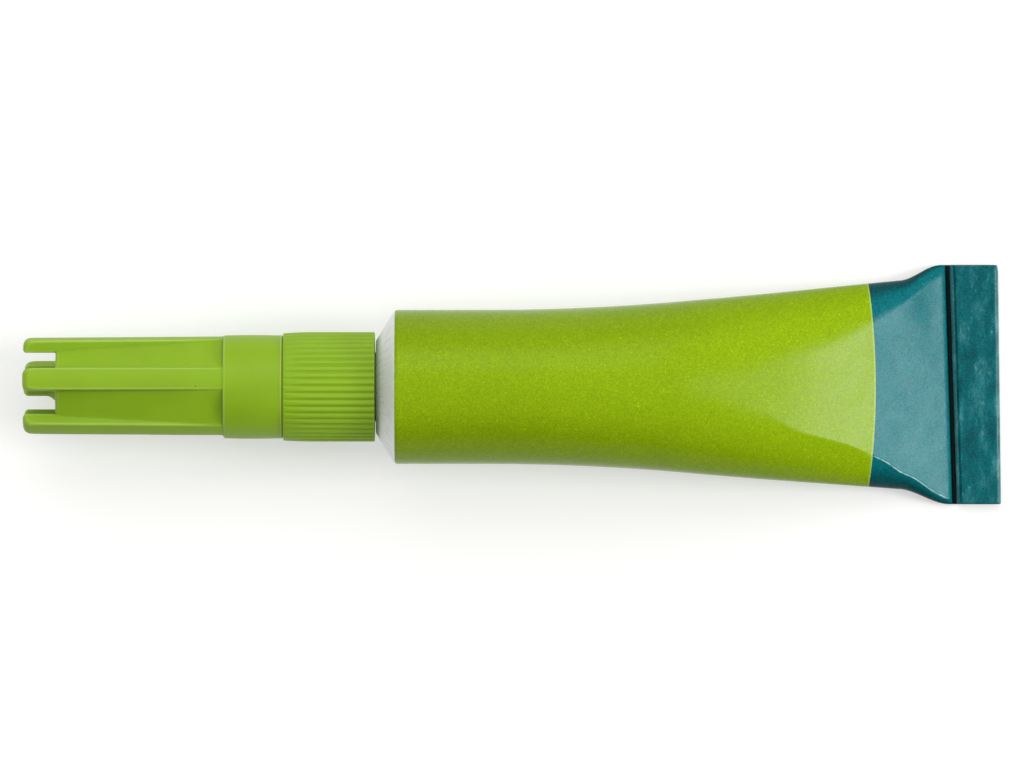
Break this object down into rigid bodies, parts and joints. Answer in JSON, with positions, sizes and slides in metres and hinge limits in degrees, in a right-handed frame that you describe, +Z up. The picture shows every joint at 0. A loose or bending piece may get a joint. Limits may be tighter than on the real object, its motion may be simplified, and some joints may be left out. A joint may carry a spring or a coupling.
{
  "type": "super glue tube",
  "caption": "Small crimped aluminium tube of gel glue, lying on its side, with a ribbed screw-on nozzle and a finned piercing cap that unscrew.",
  "frame": {"origin": "middle of the bounding box, on the surface that the tube lies on", "axes": "+X along the tube from the cap to the folded tail, +Y across the fold, +Z up"},
  "size_m": [0.0858, 0.021, 0.0135],
  "materials": {
    "printed_aluminium": "lime and teal lacquer printed on thin rolled aluminium, bare metal at the shoulder",
    "foil": "bright foil",
    "sealing_compound": "matte latex band",
    "gel": "clear wet gel",
    "lime_plastic": "moulded polyethylene with a soft sheen",
    "steel": "drawn wire"
  },
  "bodies": {
    "tube": {"tube_shell": "printed_aluminium", "tail_seal": "sealing_compound", "glue_gel": "gel"},
    "membrane": {"neck_membrane": "foil"},
    "nozzle": {"nozzle": "lime_plastic"},
    "pin": {"anti_clog_pin": "steel"},
    "cap": {"cap": "lime_plastic"}
  },
  "joints": [
    {"name": "nozzle_turn", "type": "hinge", "parent": "tube", "child": "membrane", "pos_m": [0, 0, 0.00675], "axis": [-1, 0, 0], "range_deg": [0, 2520]},
    {"name": "nozzle_lift", "type": "slide", "parent": "membrane", "child": "nozzle", "axis": [-1, 0, 0], "range_m": [0, 0.007]},
    {"name": "cap_lift", "type": "slide", "parent": "nozzle", "child": "pin", "axis": [-1, 0, 0], "range_m": [0, 0.018]},
    {"name": "cap_turn", "type": "hinge", "parent": "pin", "child": "cap", "pos_m": [0, 0, 0.00675], "axis": [-1, 0, 0], "range_deg": [0, 3240]}
  ],
  "couplings": [
    {"joint": "nozzle_turn", "follows": "nozzle_lift", "rad_per_m": 6283.2},
    {"joint": "cap_turn", "follows": "cap_lift", "rad_per_m": 3141.6}
  ]
}
